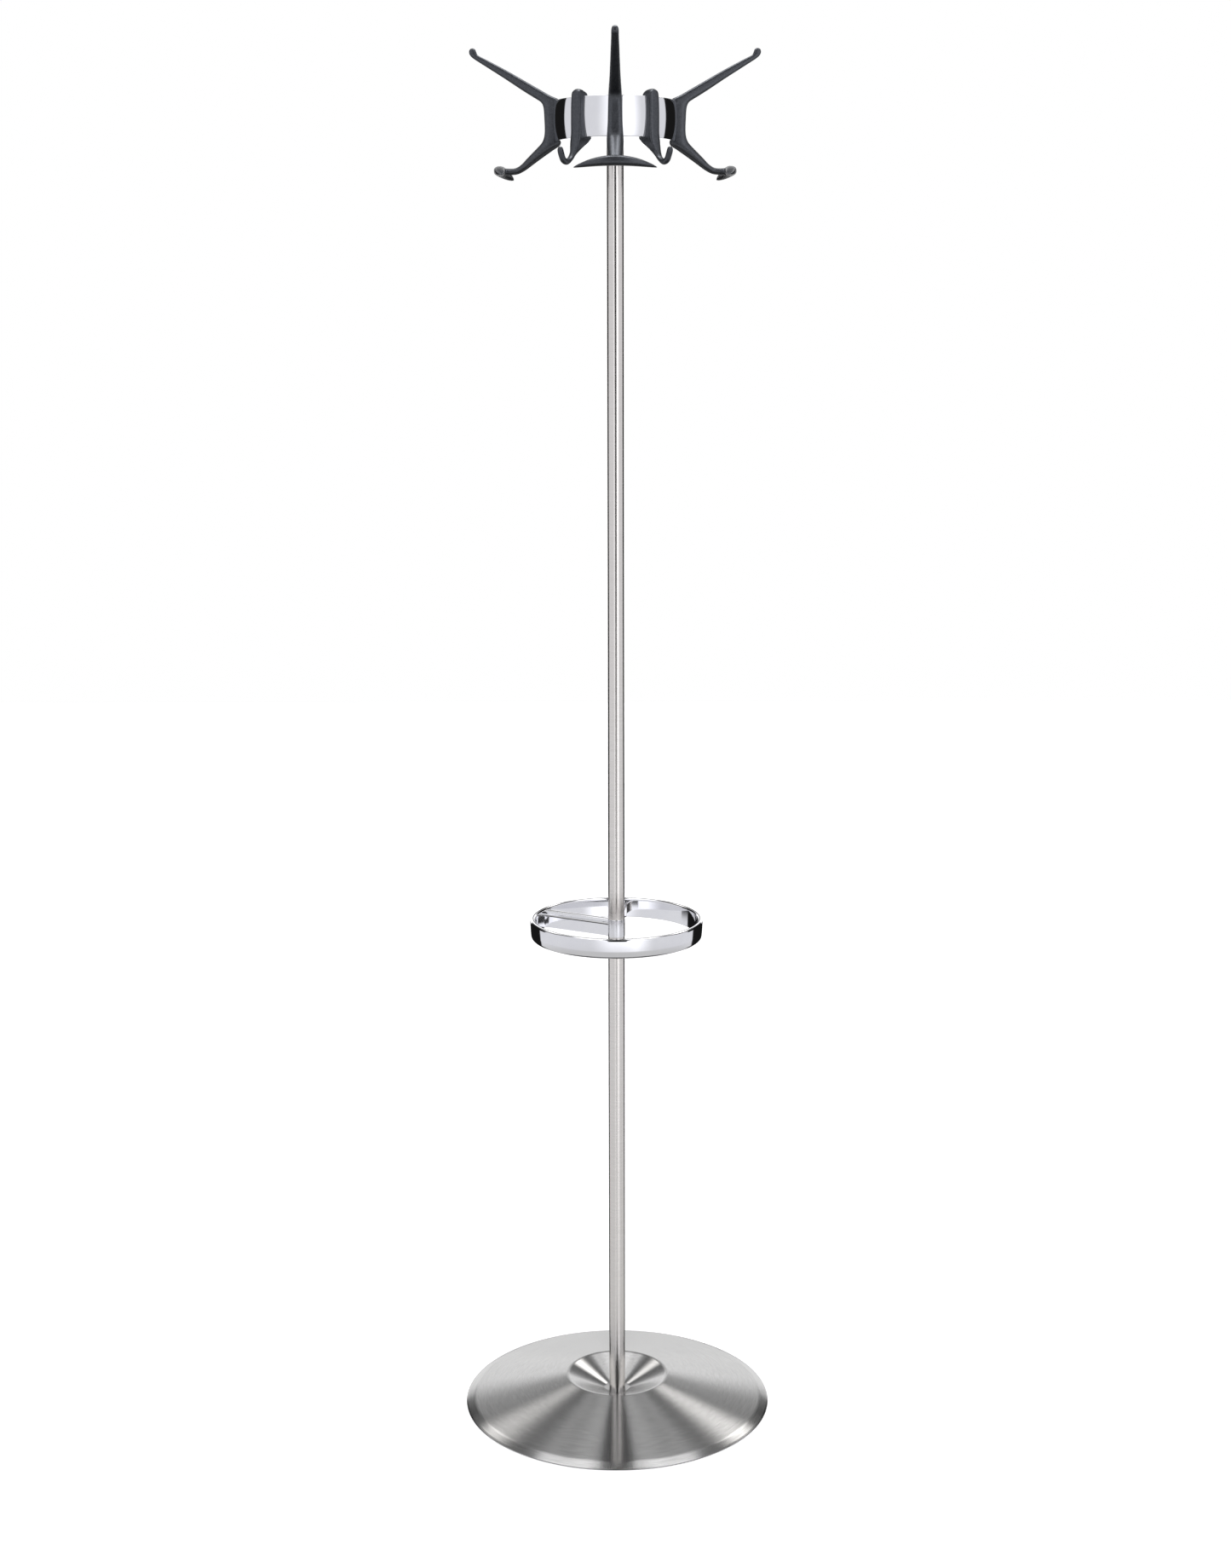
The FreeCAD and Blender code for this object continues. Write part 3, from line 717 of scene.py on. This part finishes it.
SMALL_LIMB = [
    (76.4, 53.9, 69.4, 53.1, 6.0, 0.3),
    (78.4, 52.9, 67.0, 52.1, 10.4, 0.6),
    (79.8, 50.1, 66.0, 49.5, 13.6, 1.0),
    (80.4, 44.5, 64.8, 44.5, 15.4, 1.0),
    (81.0, 31.5, 65.4, 31.5, 16.0, 1.0),
    (81.0, 15.5, 64.0, 15.5, 16.6, 1.0),
    (81.4, 3.5, 58.6, 2.1, 17.2, 1.0),
    (83.0, -4.9, 64.6, -5.7, 16.4, 1.0),
    (85.4, -12.1, 73.4, -12.5, 12.6, 0.9),
    (88.4, -18.9, 81.4, -20.3, 9.6, 0.5),
    (92.0, -23.7, 88.0, -27.3, 7.6, 0.0),
    (97.2, -25.9, 96.6, -32.7, 7.0, 0.0),
    (101.6, -24.3, 105.4, -30.3, 7.0, 0.0),
    (103.9, -20.1, 110.5, -22.3, 7.0, 0.0),
    (105.4, -16.5, 112.2, -17.5, 6.8, 0.0),
    (106.6, -14.1, 111.6, -14.5, 5.2, 0.0),
    (108.2, -13.1, 110.2, -13.2, 2.2, 0.0),
]


def superellipse(power, count=48):
    """(along, across) points of a rounded box from -1 to 1."""
    points = []
    for k in range(count):
        c, s = math.cos(2 * math.pi * k / count), math.sin(2 * math.pi * k / count)
        size = (abs(c) ** power + abs(s) ** power) ** (-1 / power)
        points.append((c * size, s * size))
    return points


def keel(count=48):
    """(along, across) points of a section with a crowned outer face, creases and flaring sides."""
    side, crease = 0.84, 0.70
    quarter = count // 4
    face = [(crease + (1 - crease) * math.cos(math.pi / 2 * t), side * math.sin(math.pi / 2 * t))
            for t in [k / (quarter / 2) - 1 for k in range(quarter)]]
    right = [(crease - (crease + 1) * k / quarter, side + (1 - side) * k / quarter) for k in range(quarter)]
    inner = [(-1.0, 1 - 2 * k / quarter) for k in range(quarter)]
    left = [(-1 + (crease + 1) * k / quarter, -1 + (1 - side) * k / quarter) for k in range(quarter)]
    return face + right + inner + left


def ring_points(station, outline):
    """One ring of a limb: the outline between its outer and inner points, width across."""
    bottom = drum_heights()[0]
    outer_r, outer_z, inner_r, inner_z, width = station[:5]
    outer = Vector((outer_r, 0, bottom + outer_z))
    inner = Vector((inner_r, 0, bottom + inner_z))
    middle, half = (outer + inner) / 2, (outer - inner) / 2
    side = Vector((0, width / 2, 0))
    return [(middle + half * along + side * across) * MM for along, across in outline]


def limb(stations, outlines):
    """A limb through its stations, whose sixth number blends the second outline in."""
    rings = []
    for station in through(stations, STEPS_BETWEEN_STATIONS):
        share = station[5]
        outline = [(a * (1 - share) + c * share, b * (1 - share) + d * share)
                   for (a, b), (c, d) in zip(*outlines)]
        rings.append(ring_points(station, outline))
    return lofted("limb", rings)


def saddle():
    """The crossbar of a large hook: a crescent that droops and sweeps back to its blunt ends."""
    lift = drum_heights()[0]
    half_count = SADDLE_STATIONS // 2
    rings = []
    for k in range(SADDLE_STATIONS):
        share = math.sin(math.pi / 2 * (k / half_count - 1))
        top = SADDLE_TOP_Z - SADDLE_TOP_DROOP * share ** 2
        bottom = SADDLE_BOTTOM_Z - SADDLE_BOTTOM_DROOP * share ** 2
        depth = SADDLE_DEPTH * max(0.10, (1 - abs(share) ** 5) ** 0.5)
        half_z = (top - bottom) / 2 * max(0.2, (1 - share ** 12) ** 0.5)
        reach = SADDLE_CENTRE_R - SADDLE_SWEEP * share ** 2
        centre = Vector((reach, SADDLE_HALF_LENGTH * share, lift + (top + bottom) / 2))
        outline = superellipse(2.6)
        rings.append([(centre + Vector((a * depth / 2, 0, b * half_z))) * MM for a, b in outline])
    return lofted("saddle", rings)


def joined(meshes):
    work = bmesh.new()
    for mesh in meshes:
        work.from_mesh(mesh)
    result = bpy.data.meshes.new("joined")
    work.to_mesh(result)
    work.free()
    return result


def cast_in_one(mesh, voxel, seat):
    """Melts overlapping skins into one casting with soft joins, and cuts the drum's seat out of it."""
    melted = with_modifiers(mesh, [
        ("REMESH", {"mode": "VOXEL", "voxel_size": voxel}),
        ("SMOOTH", {"factor": 0.5, "iterations": 5}),
    ])
    cut = {"operation": "DIFFERENCE", "object": seat, "solver": "EXACT"}
    return with_modifiers(melted, [("BOOLEAN", cut)])


def build_hooks():
    """The five castings, each a turned copy of the large or the small one."""
    seat = bpy.data.objects.new("seat", barrel("seat", SEAT_GAP, SEAT_GAP))
    bpy.context.scene.collection.objects.link(seat)
    large_limb = limb(LARGE_LIMB, (superellipse(4.2), superellipse(2.2)))
    large = cast_in_one(joined([large_limb, saddle()]), LARGE_VOXEL, seat)
    small = cast_in_one(limb(SMALL_LIMB, (superellipse(2.2), keel())), SMALL_VOXEL, seat)
    bpy.data.objects.remove(seat)
    castings = []
    for hooks, mesh in ((LARGE_HOOKS, large), (SMALL_HOOKS, small)):
        for node_name, azimuth in hooks.items():
            name = node_name + "_casting"
            copy = turned(mesh, name, azimuth)
            castings.append(add_piece(name, copy, "graphite_lacquer", [node_name], sharp_degrees=40))
    return castings


# ---------------------------------------------------------------- putting it together
slots = {part["node"]: part["material_slot"] for part in frame["record"]["subparts"]}
for node_name, node in frame["nodes"].items():
    node.data.materials.clear()
    node.data.materials.append(MATERIALS[slots[node_name]])

add_camera()
add_studio_world()
add_floor()
build_base()
build_ring()
build_drum()
add_overhead_light(build_hooks())
bpy.context.scene.view_settings.view_transform = "Standard"
